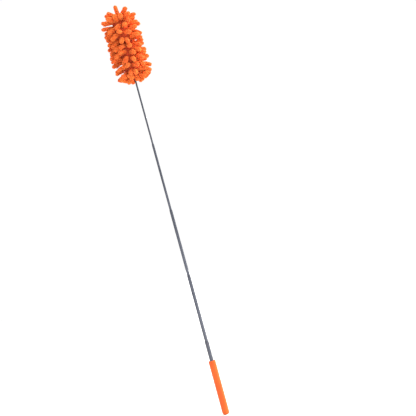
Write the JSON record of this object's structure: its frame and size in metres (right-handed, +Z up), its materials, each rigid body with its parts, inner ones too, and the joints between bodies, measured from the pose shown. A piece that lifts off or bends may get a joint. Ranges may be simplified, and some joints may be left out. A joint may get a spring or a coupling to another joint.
{
  "type": "telescopic chenille duster",
  "caption": "Hand duster with a soft chenille finger head on a telescopic steel pole that slides and turns, and a slim moulded grip.",
  "frame": {"origin": "centre of the grip's flat bottom end", "axes": "+Z up along the pole, from the grip to the head; +X and +Y across it"},
  "size_m": [0.07, 0.07, 0.75],
  "materials": {
    "grip_moulding": "soft moulded plastic with a fine satin grain",
    "pole_steel": "drawn stainless tube, satin with fine lengthwise lines",
    "plug_nylon": "natural nylon",
    "brass_fittings": "turned brass",
    "spring_bronze": "spring bronze strip",
    "socket_moulding": "moulded plastic, satin",
    "core_steel": "plain steel wire",
    "core_foam": "open-cell foam",
    "sleeve_knit": "fine knitted backing",
    "hem_elastic": "covered elastic",
    "chenille_pile": "deep soft chenille pile"
  },
  "bodies": {
    "handle": {"grip": "grip_moulding", "outer_tube": "pole_steel", "foot_plug": "plug_nylon"},
    "spring_2": {"friction_spring_2": "spring_bronze"},
    "section_2": {"tube_2": "pole_steel", "end_bush_2": "brass_fittings", "stop_ring_2": "brass_fittings"},
    "spring_3": {"friction_spring_3": "spring_bronze"},
    "section_3": {"tube_3": "pole_steel", "end_bush_3": "brass_fittings", "stop_ring_3": "brass_fittings"},
    "spring_4": {"friction_spring_4": "spring_bronze"},
    "section_4": {"tube_4": "pole_steel", "end_bush_4": "brass_fittings", "stop_ring_4": "brass_fittings"},
    "spring_5": {"friction_spring_5": "spring_bronze"},
    "head": {"rod_5": "pole_steel", "end_bush_5": "brass_fittings", "stop_ring_5": "brass_fittings", "head_socket": "socket_moulding", "core_wire": "core_steel", "core_tip": "socket_moulding", "foam_core": "core_foam", "backing_sleeve": "sleeve_knit", "hem_elastic": "hem_elastic", "chenille_row_01": "chenille_pile", "chenille_row_02": "chenille_pile", "chenille_row_03": "chenille_pile", "chenille_row_04": "chenille_pile", "chenille_row_05": "chenille_pile", "chenille_row_06": "chenille_pile", "chenille_row_07": "chenille_pile", "chenille_row_08": "chenille_pile", "chenille_row_09": "chenille_pile", "chenille_row_10": "chenille_pile", "chenille_row_11": "chenille_pile", "chenille_row_12": "chenille_pile", "chenille_crown": "chenille_pile"}
  },
  "joints": [
    {"name": "slide_2", "type": "slide", "parent": "handle", "child": "spring_2", "axis": [0, 0, 1], "range_m": [-0.1181, 0]},
    {"name": "swivel_2", "type": "hinge", "parent": "spring_2", "child": "section_2", "pos_m": [0, 0, 0.3], "axis": [0, 0, 1], "continuous": true},
    {"name": "slide_3", "type": "slide", "parent": "section_2", "child": "spring_3", "axis": [0, 0, 1], "range_m": [-0.1181, 0]},
    {"name": "swivel_3", "type": "hinge", "parent": "spring_3", "child": "section_3", "pos_m": [0, 0, 0.3], "axis": [0, 0, 1], "continuous": true},
    {"name": "slide_4", "type": "slide", "parent": "section_3", "child": "spring_4", "axis": [0, 0, 1], "range_m": [-0.1181, 0]},
    {"name": "swivel_4", "type": "hinge", "parent": "spring_4", "child": "section_4", "pos_m": [0, 0, 0.3], "axis": [0, 0, 1], "continuous": true},
    {"name": "slide_5", "type": "slide", "parent": "section_4", "child": "spring_5", "axis": [0, 0, 1], "range_m": [-0.1181, 0]},
    {"name": "swivel_5", "type": "hinge", "parent": "spring_5", "child": "head", "pos_m": [0, 0, 0.3], "axis": [0, 0, 1], "continuous": true}
  ]
}
